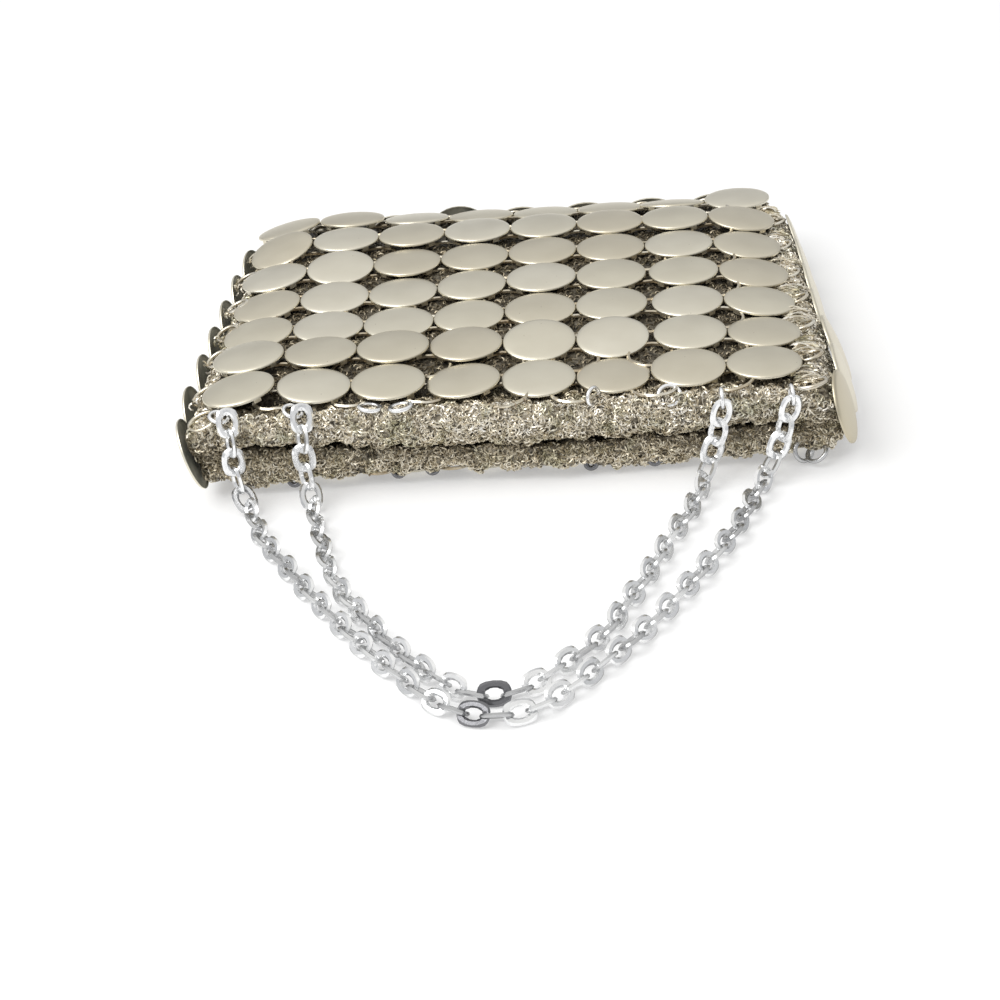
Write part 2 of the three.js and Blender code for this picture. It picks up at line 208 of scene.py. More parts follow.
# Middle of the edge rings beside each joint of the rows: y, left x, left z, right x, right z
EDGE_RING_LINE = [
    (6, -92.6, 27.2, 94.4, 27.0), (30, -92.0, 26.6, 93.9, 25.6), (52, -91.8, 25.2, 93.6, 24.6),
    (75, -91.4, 24.4, 92.7, 23.2), (98, -91.2, 23.6, 91.8, 22.6), (119, -89.6, 22.6, 91.0, 22.4),
]
# Lean and tip of the edge rings on the left and on the right
EDGE_RING_LIE = {-1: (-24, 4), 1: (-14, -9)}
LOWER_RING_Z = 7.4
LOWER_RING_LEAN = 40
END_RING_Z = 19.2
END_RING_TIP = -52
LOWER_END_RING_Z = 6.2
LOWER_END_RING_TIP = 48
CORNER_RINGS = [  # x, y, z, tip, lean
    (-91.0, -11.0, 26.2, 10, -18), (93.4, -11.6, 26.6, -12, -10), (88.2, 130, 20.8, 10, 8),
]
CORNER_RING_SCALE = 1.2
JUMP_RING_RADIUS = 3.2
JUMP_RING_WIRE = 0.72
EYELET_RADIUS = 1.5
EYELET_WIRE = 0.85
CHAIN_RING_SCALE = 0.9
CHAIN_RINGS = [  # x, y, z, how far each ring swings and stands up
    (-85.4, -13.2, 28.6, -30, 14), (-62.8, -12.8, 28.8, -30, 20),
    (66.4, -17.2, 26.4, 4, 90), (87.2, -17.4, 26.2, 8, 90),
]
CHAIN_RING_TONE = 0.9
LOOSE_RINGS = [  # x, y, z, tip, lean, scale, tone
    (-39.4, -12.8, 28.4, -8, 9, 1, 0.9), (-30.0, -13.8, 28.4, -8, -6, 1, 0.9),
    (28.2, -13.8, 28.0, 80, 55, 0.85, 0.9), (51.0, -13.0, 26.4, 40, 3, 1, 0.9),
    (90.6, -12.6, 4.4, 62, 35, 1, 0.05), (94.6, -13.0, 3.6, 20, -30, 1, 0.05),
]
EYELETS = [
    (-65.8, -10.5, 3.6), (-33.4, -9.6, 4.0), (-22.9, -9.4, 4.3), (26.0, -11.4, 3.7), (45.5, -11.4, 3.9),
]
EYELET_TIP = 72

THREAD_BEND = 0.62
THREAD_WIRE = 0.2
THREAD_DEPTH = 0.05
STRANDS_ON_A_RING = 30
STITCHES_ON_A_RING = 6
STITCH_SCALE = 1.3
# How far from its middle a disc hides the crochet
UNDER_DISC = 9.2
# Loops of yarn on a square millimetre of the crochet
SIDE_LOOPS = 0.4
BETWEEN_LOOPS = 0.4
BACK_LOOPS = 0.08
STRIP_LOOPS = 1.4
LIP_LOOPS = 1.65
UNDERSIDE_LOOPS = 0.5
SLIT_LOOPS = 0.25
LOOPS_IN_A_PIECE = 6500

seeded = np.random.default_rng(41)


def slump(z):
    return SLUMP * (SLUMP_TOP - z)


back_low, back_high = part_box("back_discs")
MM = 0.001
SHIFT = Vector((
    (back_low[0] + back_high[0]) / 2 - slump(BACK_Z) * MM,
    (back_low[1] + back_high[1]) / 2 - ((ROWS - 1) / 2 * PITCH + BACK_SHIFT) * MM,
    0,
))
TO_FRAME = Matrix.Translation(SHIFT) @ Matrix.Scale(MM, 4)


# Camera at the photograph's viewing angle
CAMERA_TURN = (4.5245, 29.7272, -5.6641)
CAMERA_AIM = (2.2823, -77.5231, 30.65)
CAMERA_DISTANCE = 665.104
CAMERA_LENS = 86.374


def add_camera():
    azimuth, elevation, roll = (math.radians(angle) for angle in CAMERA_TURN)
    back = Vector((
        math.sin(azimuth) * math.cos(elevation),
        -math.cos(azimuth) * math.cos(elevation),
        math.sin(elevation),
    ))
    level = Vector((math.cos(azimuth), math.sin(azimuth), 0))
    upright = back.cross(level)
    right = level * math.cos(roll) + upright * math.sin(roll)
    up = upright * math.cos(roll) - level * math.sin(roll)
    place = TO_FRAME @ (Vector(CAMERA_AIM) + back * CAMERA_DISTANCE)
    data = bpy.data.cameras.new("photo_camera")
    data.sensor_width = 36
    data.lens = CAMERA_LENS
    data.clip_start = 0.01
    camera = bpy.data.objects.new("photo_camera", data)
    camera.matrix_world = Matrix.Translation(place) @ Matrix((right, up, back)).transposed().to_4x4()
    bpy.context.collection.objects.link(camera)
    bpy.context.scene.camera = camera


# Hand tools
def put_down():
    if bpy.context.object and bpy.context.object.mode != "OBJECT":
        bpy.ops.object.mode_set(mode="OBJECT")
    bpy.ops.object.select_all(action="DESELECT")


def take(piece):
    put_down()
    piece.select_set(True)
    bpy.context.view_layer.objects.active = piece


def edit(piece):
    take(piece)
    bpy.ops.object.mode_set(mode="EDIT")
    bpy.ops.mesh.select_mode(type="FACE")
    bpy.ops.mesh.select_all(action="SELECT")


def pick_faces(piece, wanted):
    bpy.ops.mesh.select_mode(type="FACE")
    bpy.ops.mesh.select_all(action="DESELECT")
    bpy.ops.object.mode_set(mode="OBJECT")
    for face in piece.data.polygons:
        face.select = wanted(face)
    bpy.ops.object.mode_set(mode="EDIT")


def pick_points(piece, wanted):
    bpy.ops.mesh.select_mode(type="VERT")
    bpy.ops.mesh.select_all(action="DESELECT")
    bpy.ops.object.mode_set(mode="OBJECT")
    for point in piece.data.vertices:
        point.select = wanted(point.co)
    bpy.ops.object.mode_set(mode="EDIT")


def face_outwards():
    bpy.ops.mesh.select_all(action="SELECT")
    bpy.ops.mesh.normals_make_consistent(inside=False)


def turn(axis, degrees):
    return Matrix.Rotation(math.radians(degrees), 4, axis)


def joined_copies(name, model, places, tones=None):
    """One mesh of a modelled shape set down at each place, with a brightness for each copy that some pieces
    use for painted shade.
    """
    source = model.data
    points = np.empty(len(source.vertices) * 3)
    source.vertices.foreach_get("co", points)
    points = points.reshape(-1, 3)
    corners = np.empty(len(source.loops), dtype=np.int32)
    source.loops.foreach_get("vertex_index", corners)
    starts = np.empty(len(source.polygons), dtype=np.int32)
    source.polygons.foreach_get("loop_start", starts)
    finishes = np.empty(len(source.polygons), dtype=np.int32)
    source.polygons.foreach_get("material_index", finishes)
    moves = np.array([np.array(place) for place in places])
    count = np.arange(len(moves), dtype=np.int32)[:, None]
    moved = np.einsum("nij,vj->nvi", moves[:, :3, :3], points) + moves[:, None, :3, 3]
    mesh = bpy.data.meshes.new(name)
    mesh.vertices.add(moved.shape[0] * moved.shape[1])
    mesh.vertices.foreach_set("co", moved.ravel())
    mesh.loops.add(corners.size * len(moves))
    mesh.loops.foreach_set("vertex_index", (corners[None] + len(points) * count).ravel())
    mesh.polygons.add(starts.size * len(moves))
    mesh.polygons.foreach_set("loop_start", (starts[None] + corners.size * count).ravel())
    mesh.polygons.foreach_set("material_index", np.tile(finishes, len(moves)))
    mesh.update(calc_edges=True)
    mesh.validate()
    if tones is None:
        tones = seeded.random(len(moves))
    # Painted shade rides on this per-copy attribute for the yarn, the links, the eyelets and one disc,
    # beside random brightness.
    tone = mesh.attributes.new("tone", "FLOAT", "POINT")
    tone.data.foreach_set("value", np.repeat(np.asarray(tones, dtype=np.float32), len(points)))
    piece = bpy.data.objects.new(name, mesh)
    bpy.context.collection.objects.link(piece)
    return piece


def set_down(piece, name, materials, nodes=(), smooth=70):
    """Move a finished piece from the bench into the shared frame."""
    piece.name = name
    piece.data.name = name
    piece.data.transform(TO_FRAME)
    for material in materials:
        piece.data.materials.append(material)
    take(piece)
    bpy.ops.object.shade_smooth_by_angle(angle=math.radians(smooth))
    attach(piece, "root")
    if nodes:
        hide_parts(*nodes)
    put_down()


def lay_out(name, model, places, materials, nodes=(), smooth=70, tones=None):
    """Copy a model to its places and set the copies down as one piece."""
    set_down(joined_copies(name, model, places, tones), name, materials, nodes, smooth)


def throw_away(model):
    mesh = model.data
    bpy.data.objects.remove(model)
    bpy.data.meshes.remove(mesh)


# Finishes
def wear_group():
    """Soft patches, fine grain and dark specks that the metals and the yarn share."""
    group = bpy.data.node_groups.new("wear", "ShaderNodeTree")
    scales = {"Patch Scale": 60.0, "Grain Scale": 900.0, "Speck Scale": 180.0, "Speck Size": 0.16}
    for name, start in scales.items():
        socket = group.interface.new_socket(name, in_out="INPUT", socket_type="NodeSocketFloat")
        socket.default_value = start
    for name in ("Patches", "Grain", "Specks"):
        group.interface.new_socket(name, in_out="OUTPUT", socket_type="NodeSocketFloat")
    nodes, links = group.nodes, group.links
    given = nodes.new("NodeGroupInput")
    result = nodes.new("NodeGroupOutput")
    place = nodes.new("ShaderNodeTexCoord")
    patches = nodes.new("ShaderNodeTexNoise")
    patches.inputs["Detail"].default_value = 3
    grain = nodes.new("ShaderNodeTexNoise")
    grain.inputs["Detail"].default_value = 4
    cells = nodes.new("ShaderNodeTexVoronoi")
    speck = nodes.new("ShaderNodeMapRange")
    speck.inputs["From Min"].default_value = 0.0
    speck.inputs["To Min"].default_value = 1.0
    speck.inputs["To Max"].default_value = 0.0
    for texture, name in ((patches, "Patch Scale"), (grain, "Grain Scale"), (cells, "Speck Scale")):
        links.new(place.outputs["Object"], texture.inputs["Vector"])
        links.new(given.outputs[name], texture.inputs["Scale"])
    links.new(cells.outputs["Distance"], speck.inputs["Value"])
    links.new(given.outputs["Speck Size"], speck.inputs["From Max"])
    links.new(patches.outputs["Fac"], result.inputs["Patches"])
    links.new(grain.outputs["Fac"], result.inputs["Grain"])
    links.new(speck.outputs["Result"], result.inputs["Specks"])
    return group


WEAR = wear_group()


class Finish:
    """A material with the wear group, the brightness of each copy, which carries painted shade for some
    pieces, and helpers to mix them.
    """

    def __init__(self, name, **scales):
        self.material = bpy.data.materials.new(name)
        self.material.use_nodes = True
        self.nodes = self.material.node_tree.nodes
        self.links = self.material.node_tree.links
        self.shader = self.nodes["Principled BSDF"]
        self.wear = self.nodes.new("ShaderNodeGroup")
        self.wear.node_tree = WEAR
        for socket, value in scales.items():
            self.wear.inputs[socket.replace("_", " ").title()].default_value = value
        self.tone = self.nodes.new("ShaderNodeAttribute")
        self.tone.attribute_name = "tone"

    def ramp(self, value, *stops):
        node = self.nodes.new("ShaderNodeValToRGB")
        self.links.new(value, node.inputs["Fac"])
        while len(node.color_ramp.elements) < len(stops):
            node.color_ramp.elements.new(0.5)
        for element, (at, colour) in zip(node.color_ramp.elements, stops):
            element.position = at
            element.color = (*colour, 1)
        return node.outputs["Color"]

    def mix(self, amount, first, second, blend="MIX"):
        node = self.nodes.new("ShaderNodeMix")
        node.data_type = "RGBA"
        node.blend_type = blend
        for socket, value in (("Factor_Float", amount), ("A_Color", first), ("B_Color", second)):
            target = next(s for s in node.inputs if s.identifier == socket)
            if isinstance(value, bpy.types.NodeSocket):
                self.links.new(value, target)
            else:
                target.default_value = value if socket == "Factor_Float" else (*value, 1)
        return next(s for s in node.outputs if s.identifier == "Result_Color")

    def span(self, value, low, high):
        node = self.nodes.new("ShaderNodeMapRange")
        self.links.new(value, node.inputs["Value"])
        node.inputs["To Min"].default_value = low
        node.inputs["To Max"].default_value = high
        return node.outputs["Result"]

    def set(self, socket, value):
        if isinstance(value, bpy.types.NodeSocket):
            self.links.new(value, self.shader.inputs[socket])
        else:
            self.shader.inputs[socket].default_value = value

    def bump(self, height, distance, strength=1.0):
        node = self.nodes.new("ShaderNodeBump")
        node.inputs["Strength"].default_value = strength
        node.inputs["Distance"].default_value = distance
        self.links.new(height, node.inputs["Height"])
        self.links.new(node.outputs["Normal"], self.shader.inputs["Normal"])


def champagne_metal():
    finish = Finish(
        "champagne_disc_metal", patch_scale=70, grain_scale=1400, speck_scale=210, speck_size=0.045)
    # The lowest stop is painted shade for the turned disc at the right corner of the mouth; above
    # PLAIN_TONE the brightness differs at random.
    body = finish.ramp(
        finish.tone.outputs["Fac"], (0.0, (0.585, 0.53, 0.40)), (0.15, (0.73, 0.675, 0.545)),
        (0.575, (0.785, 0.74, 0.61)), (1.0, (0.825, 0.785, 0.67)))
    clouded = finish.ramp(finish.wear.outputs["Patches"], (0.3, (0.93, 0.92, 0.90)), (0.7, (1.0, 1.0, 1.0)))
    body = finish.mix(1.0, body, clouded, "MULTIPLY")
    finish.set("Base Color", finish.mix(finish.wear.outputs["Specks"], body, (0.16, 0.10, 0.05)))
    finish.set("Metallic", 1.0)
    finish.set("Roughness", finish.span(finish.wear.outputs["Patches"], 0.30, 0.46))
    finish.bump(finish.wear.outputs["Grain"], 0.00003, 0.35)
    return finish.material


# Painted shade: this dark, dull finish on the undersides and the recessed backs of the discs stands in for
# the shade beneath them.
def disc_back_painted_shade():
    finish = Finish("disc_back_painted_shade", patch_scale=160, grain_scale=1400, speck_scale=300, speck_size=0.1)
    body = finish.ramp(finish.wear.outputs["Patches"], (0.3, (0.2, 0.205, 0.17)), (0.7, (0.46, 0.45, 0.38)))
    finish.set("Base Color", finish.mix(finish.wear.outputs["Specks"], body, (0.5, 0.46, 0.36)))
    finish.set("Metallic", 0.25)
    finish.set("Specular IOR Level", 0.3)
    finish.set("Roughness", finish.span(finish.wear.outputs["Patches"], 0.45, 0.65))
    finish.bump(finish.wear.outputs["Grain"], 0.00004, 0.4)
    return finish.material


def pale_gold_wire():
    finish = Finish("pale_gold_wire", patch_scale=260, grain_scale=1800, speck_scale=500, speck_size=0.1)
    body = finish.ramp(
        finish.tone.outputs["Fac"], (0.0, (0.60, 0.52, 0.39)), (0.5, (0.78, 0.72, 0.58)),
        (1.0, (0.86, 0.83, 0.74)))
    dulled = finish.ramp(finish.wear.outputs["Patches"], (0.3, (0.7, 0.64, 0.56)), (0.65, (1.0, 1.0, 1.0)))
    finish.set("Base Color", finish.mix(1.0, body, dulled, "MULTIPLY"))
    finish.set("Metallic", 1.0)
    finish.set("Roughness", finish.span(finish.wear.outputs["Patches"], 0.36, 0.22))
    finish.bump(finish.wear.outputs["Grain"], 0.00003, 0.3)
    return finish.material


def bright_silver():
    finish = Finish(
        "bright_silver_chain", patch_scale=320, grain_scale=1500, speck_scale=600, speck_size=0.08)
    # The lowest stop is near black: painted shade for links on edge and the eyelets, and a painted
    # reflection of the dark room for two links.
    body = finish.ramp(
        finish.tone.outputs["Fac"], (0.0, (0.2, 0.2, 0.21)), (0.08, (0.88, 0.885, 0.885)),
        (1.0, (0.98, 0.98, 0.98)))
    dulled = finish.ramp(
        finish.wear.outputs["Patches"], (0.32, (0.92, 0.92, 0.925)), (0.55, (1.0, 1.0, 1.0)))
    body = finish.mix(1.0, body, dulled, "MULTIPLY")
    # Painted shade: the colour darkens where the surface turns away from the view, drawing dark rims on the
    # links.
    slant = finish.nodes.new("ShaderNodeLayerWeight")
    slant.inputs["Blend"].default_value = 0.5
    edges = finish.ramp(slant.outputs["Facing"], (0.38, (1.0, 1.0, 1.0)), (0.82, (0.34, 0.345, 0.345)))
    finish.set("Base Color", finish.mix(1.0, body, edges, "MULTIPLY"))
    finish.set("Metallic", 0.8)
    finish.set("Roughness", finish.span(finish.wear.outputs["Patches"], 0.24, 0.12))
    finish.bump(finish.wear.outputs["Grain"], 0.00004, 0.35)
    return finish.material


def crochet_ground():
    finish = Finish("crochet_ground", patch_scale=420, grain_scale=1500, speck_scale=800, speck_size=0.5)
    # Painted shade: the ground under the yarn loops runs down to near black for the shade in the crevices
    # between them, and the second ramp darkens it under the discs.
    body = finish.ramp(
        finish.wear.outputs["Patches"], (0.32, (0.035, 0.028, 0.018)), (0.52, (0.24, 0.205, 0.15)),
        (0.72, (0.52, 0.47, 0.37)))
    body = finish.mix(finish.wear.outputs["Specks"], body, (0.55, 0.51, 0.42))
    shade = finish.ramp(finish.tone.outputs["Fac"], (0.0, (0.36, 0.35, 0.33)), (1.0, (1.0, 1.0, 1.0)))
    finish.set("Base Color", finish.mix(1.0, body, shade, "MULTIPLY"))
    finish.set("Metallic", finish.span(finish.wear.outputs["Grain"], 0.3, 0.8))
    finish.set("Roughness", finish.span(finish.wear.outputs["Grain"], 0.65, 0.35))
    finish.bump(finish.wear.outputs["Patches"], 0.0012)
    return finish.material


def metallic_yarn():
    finish = Finish("metallic_yarn", patch_scale=150, grain_scale=2600, speck_scale=900, speck_size=0.3)
    # The per-copy brightness read here carries painted shade between the discs and along the slit, beside
    # random variation.
    body = finish.ramp(
        finish.tone.outputs["Fac"], (0.0, (0.10, 0.08, 0.05)), (0.25, (0.48, 0.43, 0.335)),
        (0.6, (0.90, 0.85, 0.72)), (0.85, (0.97, 0.94, 0.86)), (1.0, (0.98, 0.97, 0.94)))
    twist = finish.ramp(finish.wear.outputs["Grain"], (0.35, (0.66, 0.61, 0.53)), (0.6, (1.0, 1.0, 1.0)))
    body = finish.mix(1.0, body, twist, "MULTIPLY")
    cast = finish.ramp(
        finish.wear.outputs["Patches"], (0.3, (0.74, 0.75, 0.66)), (0.5, (1.0, 0.98, 0.94)),
        (0.7, (1.0, 1.0, 1.0)))
    finish.set("Base Color", finish.mix(1.0, body, cast, "MULTIPLY"))
    finish.set("Metallic", 0.75)
    finish.set("Roughness", finish.span(finish.wear.outputs["Grain"], 0.5, 0.24))
    finish.bump(finish.wear.outputs["Grain"], 0.0001, 0.6)
    return finish.material


def tan_thread():
    finish = Finish("tan_sewing_thread", patch_scale=500, grain_scale=2600, speck_scale=900, speck_size=0.3)
    body = finish.ramp(finish.tone.outputs["Fac"], (0.0, (0.26, 0.19, 0.12)), (1.0, (0.56, 0.47, 0.35)))
    twist = finish.ramp(finish.wear.outputs["Grain"], (0.35, (0.6, 0.55, 0.5)), (0.6, (1.0, 1.0, 1.0)))
    finish.set("Base Color", finish.mix(1.0, body, twist, "MULTIPLY"))
    finish.set("Roughness", finish.span(finish.wear.outputs["Grain"], 0.8, 0.55))
    finish.bump(finish.wear.outputs["Grain"], 0.0001, 0.6)
    return finish.material


def studio_floor():
    finish = Finish("white_studio_floor", patch_scale=3, grain_scale=300, speck_scale=40, speck_size=0.0)
    white = finish.ramp(
        finish.wear.outputs["Patches"], (0.3, (0.60, 0.60, 0.60)), (0.7, (0.62, 0.62, 0.62)))
    finish.set("Base Color", white)
    finish.set("Emission Color", (1, 1, 1, 1))
    finish.set("Emission Strength", 0.36)
    finish.set("Roughness", finish.span(finish.wear.outputs["Grain"], 0.75, 0.85))
    finish.set("Specular IOR Level", 0.1)
    return finish.material


# The discs
def model_disc():
    put_down()
    bpy.ops.mesh.primitive_circle_add(vertices=DISC_SIDES, radius=DISC_RADIUS, fill_type="NGON")
    disc = bpy.context.object
    edit(disc)
    bpy.ops.transform.translate(value=(0, 0, DISC_FOOT + DISC_SKIRT))
    for inward, upward in DOME_STEPS:
        bpy.ops.mesh.inset(thickness=inward, depth=upward)
    bpy.ops.mesh.poke()
    bpy.ops.mesh.select_mode(type="EDGE")
    bpy.ops.mesh.select_all(action="DESELECT")
    bpy.ops.mesh.select_non_manifold()
    bpy.ops.mesh.extrude_region_move(TRANSFORM_OT_translate={"value": (0, 0, -DISC_SKIRT)})
    bpy.ops.mesh.edge_face_add()
    face_outwards()
    pick_faces(disc, lambda face: len(face.vertices) == DISC_SIDES)
    bpy.ops.mesh.inset(thickness=SHEET_EDGE)
    bpy.ops.mesh.inset(thickness=HOLLOW_WALL, depth=-HOLLOW_DEPTH)
    bpy.ops.mesh.inset(thickness=HOLLOW_SLOPE, depth=-HOLLOW_DEPTH)
    put_down()
    # Painted shade: faces that look down, and the recessed back inside the rim, take the dark second
    # finish.
    for face in disc.data.polygons:
        inside_rim = face.center.xy.length < DISC_RADIUS - SHEET_EDGE
        shaded_underside = face.normal.z < -0.9 or (inside_rim and face.normal.z < 0.1)
        face.material_index = 1 if shaded_underside else 0
    return disc


def model_tab():
    """The bent tongue that hooks a disc to a ring."""
    put_down()
    bpy.ops.mesh.primitive_cube_add(size=1)
    tab = bpy.context.object
    edit(tab)
    bpy.ops.transform.resize(value=TAB_SIZE)
    bpy.ops.transform.translate(value=TAB_MIDDLE)
    pick_faces(tab, lambda face: face.normal.z > 0.9)
    bpy.ops.mesh.extrude_region_move(TRANSFORM_OT_translate={"value": (0, 0, TAB_STAND)})
    pick_faces(tab, lambda face: face.normal.x < -0.9 and face.center.z < -0.6)
    bpy.ops.mesh.extrude_region_move(TRANSFORM_OT_translate={"value": TAB_HOOK})
    bpy.ops.transform.resize(value=(1, TAB_TAPER, 1))
    put_down()
    return tab


def disc_with_tabs(finishes):
    disc = model_disc()
    tab = model_tab()
    tabs = joined_copies("tabs", tab, [turn("Z", 45 + 90 * quarter) for quarter in range(4)])
    throw_away(tab)
    for model in (disc, tabs):
        for finish in finishes:
            model.data.materials.append(finish)
    take(disc)
    tabs.select_set(True)
    bpy.ops.object.join()
    put_down()
    return disc


def row_place(middle, outward, length):
    z = Vector(outward).normalized()
    y = z.cross(Vector(length)).normalized()
    return Matrix.Translation(middle) @ Matrix((y.cross(z), y, z)).transposed().to_4x4()


def row_of_discs(place, count, pitch, lean_first=0, lean_last=0, turned=None):
    places = []
    for number in range(1, count + 1):
        edge = -1 if number == 1 else 1 if number == count else 0
        lean = lean_first if edge < 0 else lean_last
        joint = (number - (count + 1) / 2 - edge / 2) * pitch
        tip, lift, roll = (turned or {}).get(number, (0, 0, 0))
        hinge = Matrix.Translation((joint, 0, 0)) @ turn("Y", edge * lean)
        own = Matrix.Translation((edge * pitch / 2, 0, lift)) @ turn("X", tip) @ turn("Y", roll)
        sway = turn("Z", seeded.normal(0, 4)) @ turn("X", seeded.normal(0, 0.5))
        sway = sway @ turn("Y", seeded.normal(0, 0.5))
        places.append(place @ hinge @ own @ sway)
    return places


def front_surface(y):
    bow = y - FRONT_CREST_Y
    fall = max(0.0, y - FALL_START_Y)
    height = FRONT_HEIGHT - FRONT_BOW * bow * bow - FALL_RATE * fall * fall
    return height, -2 * FRONT_BOW * bow - 2 * FALL_RATE * fall


def sink(x, y):
    """How far the panel has sunk at a place, read between the measured rows."""
    rows = np.array([np.interp(x, SINK_X, row) for row in ROW_SINK])
    at = np.clip(np.asarray(y, dtype=float) / PITCH, 0, ROWS - 1)
    first = np.minimum(at.astype(int), ROWS - 2)
    near = np.take_along_axis(rows, first[None], axis=0)[0]
    far = np.take_along_axis(rows, first[None] + 1, axis=0)[0]
    return near + (far - near) * (at - first)


def front_row(number):
    y = (number - 1) * PITCH
    height, slope = front_surface(y)
    lean_first, lean_last, dip = ROW_LEANS[number]
    drop = math.tan(math.radians(dip))
    turned = {column: pose for (row, column), pose in TURNED_DISCS.items() if row == number}
    place = row_place((0, y, height), (drop, -slope, 1), (1, 0, -drop))
    level = row_of_discs(place, COLUMNS, PITCH, lean_first, lean_last, turned)
    settled = []
    for one in level:
        x = one.translation.x
        spread = ROW_SPREAD[number - 1] * np.interp(x, [34, 57], [0, 1])
        settled.append(Matrix.Translation((spread, 0, -sink(x, y))) @ one)
    return settled


def back_row(number):
    y = (number - 1) * PITCH + BACK_SHIFT + BACK_SLIP
    place = row_place((slump(BACK_Z), y, BACK_Z), (0, 0, -1), (1, 0, 0))
    return row_of_discs(place, COLUMNS, PITCH)


def bottom_row():
    middle = (slump(BOTTOM_Z) + BOTTOM_SHIFT, BOTTOM_Y, BOTTOM_Z)
    place = row_place(middle, (0, 1, math.tan(math.radians(BOTTOM_LEAN))), (1, 0, 0))
    return row_of_discs(place, BOTTOM_COUNT, PITCH, turned=BOTTOM_TIPS)


def side_place(direction, reach, flare, lean):
    flare = math.radians(flare)
    outward = (direction * math.cos(flare), math.sin(flare), math.tan(math.radians(lean)))
    length = (-direction * math.sin(flare), math.cos(flare), -math.tan(math.radians(SIDE_FALL)))
    return row_place((direction * reach + slump(SIDE_Z), SIDE_MIDDLE_Y, SIDE_Z), outward, length)


def side_row(direction, reach, flare, lean, mouth_turn, far_turn, turned, pushed):
    place = side_place(direction, reach, flare, lean)
    row = row_of_discs(place, SIDE_COUNT, SIDE_PITCH, mouth_turn, far_turn, turned)
    return [Matrix.Translation(pushed.get(number, (0, 0, 0))) @ disc for number, disc in enumerate(row, 1)]


# The crocheted pouch
def smooth_through(stations, spaced, count):
    """Points on a smooth line through the stations, evenly spaced along it."""
    stations = np.array(stations, dtype=float)
    at = np.concatenate([[0], np.cumsum(np.linalg.norm(np.diff(stations[:, spaced], axis=0), axis=1))])
    slopes = np.gradient(stations, at, axis=0)
    wanted = np.linspace(0, at[-1], count)
    left = np.clip(np.searchsorted(at, wanted, side="right") - 1, 0, len(at) - 2)
    gap = (at[left + 1] - at[left])[:, None]
    t = (wanted[:, None] - at[left][:, None]) / gap
    return (stations[left] * (1 + 2 * t) * (1 - t) ** 2 + slopes[left] * gap * t * (1 - t) ** 2
            + stations[left + 1] * t * t * (3 - 2 * t) + slopes[left + 1] * gap * t * t * (t - 1))


def pouch_outline(half_width, top, bottom, points):
    angle = np.linspace(0, 2 * math.pi, 3601)
    across = np.sign(np.cos(angle)) * np.abs(np.cos(angle)) ** (2 / POUCH_ROUNDING)
    upward = np.sign(np.sin(angle)) * np.abs(np.sin(angle)) ** (2 / POUCH_ROUNDING)
    x, z = half_width * across, (top + bottom) / 2 + (top - bottom) / 2 * upward
    run = np.concatenate([[0], np.cumsum(np.hypot(np.diff(x), np.diff(z)))])
    even = np.linspace(0, run[-1], points)
    return np.interp(even, run, x), np.interp(even, run, z)


def slump_lips(rings):
    """Let the rolled edges of the mouth hang along the measured line."""
    line = np.array(LIP_LINE)
    x, y, z = rings[..., 0], rings[..., 1], rings[..., 2]
    near_mouth = np.clip((6 - y) / 12, 0, 1)
    slit = np.interp(x, line[:, 0], line[:, 1]) - SLIT_Z
    under = np.interp(x, line[:, 0], line[:, 2]) - UNDERSIDE_Z
    by_slit = np.interp(z, [5, 14.4, 17.6, 27], [0, 1, 1, 0])
    by_floor = np.interp(z, [4, 14], [1, 0])
    by_lower = np.interp(z, [12.5, 17], [1, 0])
    by_panel = np.interp(z, [15, 22], [0, 1])
    rings[..., 2] = z + near_mouth * (slit * by_slit + under * by_floor) - by_panel * sink(x, y)
    rings[..., 1] = y + near_mouth * by_lower * np.interp(x, line[:, 0], line[:, 3])


def model_pouch():
    put_down()
    bpy.ops.mesh.primitive_grid_add(x_subdivisions=POUCH_AROUND, y_subdivisions=POUCH_ALONG, size=2)
    pouch = bpy.context.object
    sections = smooth_through(POUCH_SECTIONS, [0, 2, 3], POUCH_ALONG + 1)
    rings = []
    for y, half_width, top, bottom, back in sections:
        x, z = pouch_outline(half_width, top, bottom, POUCH_AROUND + 1)
        shoulder = np.interp(y, *zip(*RIGHT_SHOULDER)) * np.clip((x / half_width - 0.8) / 0.2, 0, 1)
        rings.append(np.stack([x + shoulder + slump(z), y + back * (x / half_width) ** 2, z], axis=1))
    rings = np.array(rings)
    slump_lips(rings)
    for point in pouch.data.vertices:
        around = round((point.co.x + 1) / 2 * POUCH_AROUND)
        along = round((point.co.y + 1) / 2 * POUCH_ALONG)
        point.co = rings[along, around]
    edit(pouch)
    bpy.ops.mesh.remove_doubles(threshold=0.02)
    bpy.ops.mesh.fill_holes(sides=0)
    face_outwards()
    put_down()
    lips = pouch.vertex_groups.new(name="lips")
    for point in pouch.data.vertices:
        lips.add([point.index], min(1.0, max(0.3, (4 - point.co.y) / 10)), "REPLACE")
    for name, size, strength in (("crochet_lumps", 5.5, 4.8), ("crochet_stitches", 1.7, 1.3)):
        texture = bpy.data.textures.new(name, "CLOUDS")
        texture.noise_scale = size
        texture.noise_depth = 1
        lump = pouch.modifiers.new(name, "DISPLACE")
        lump.texture = texture
        lump.texture_coords = "LOCAL"
        lump.vertex_group = "lips"
        lump.strength = strength
        lump.mid_level = 0.5
        take(pouch)
        bpy.ops.object.modifier_apply(modifier=name)
    put_down()
    # Painted shade: the crochet under the discs gets 0 and is drawn darker by the ground finish; the lips
    # and the sides get 1.
    tone = pouch.data.attributes.new("tone", "FLOAT", "POINT")
    for point in pouch.data.vertices:
        x, y, z = point.co
        tone.data[point.index].value = 1 if y < -11 or abs(x - slump(z)) > 90 else 0
    return pouch


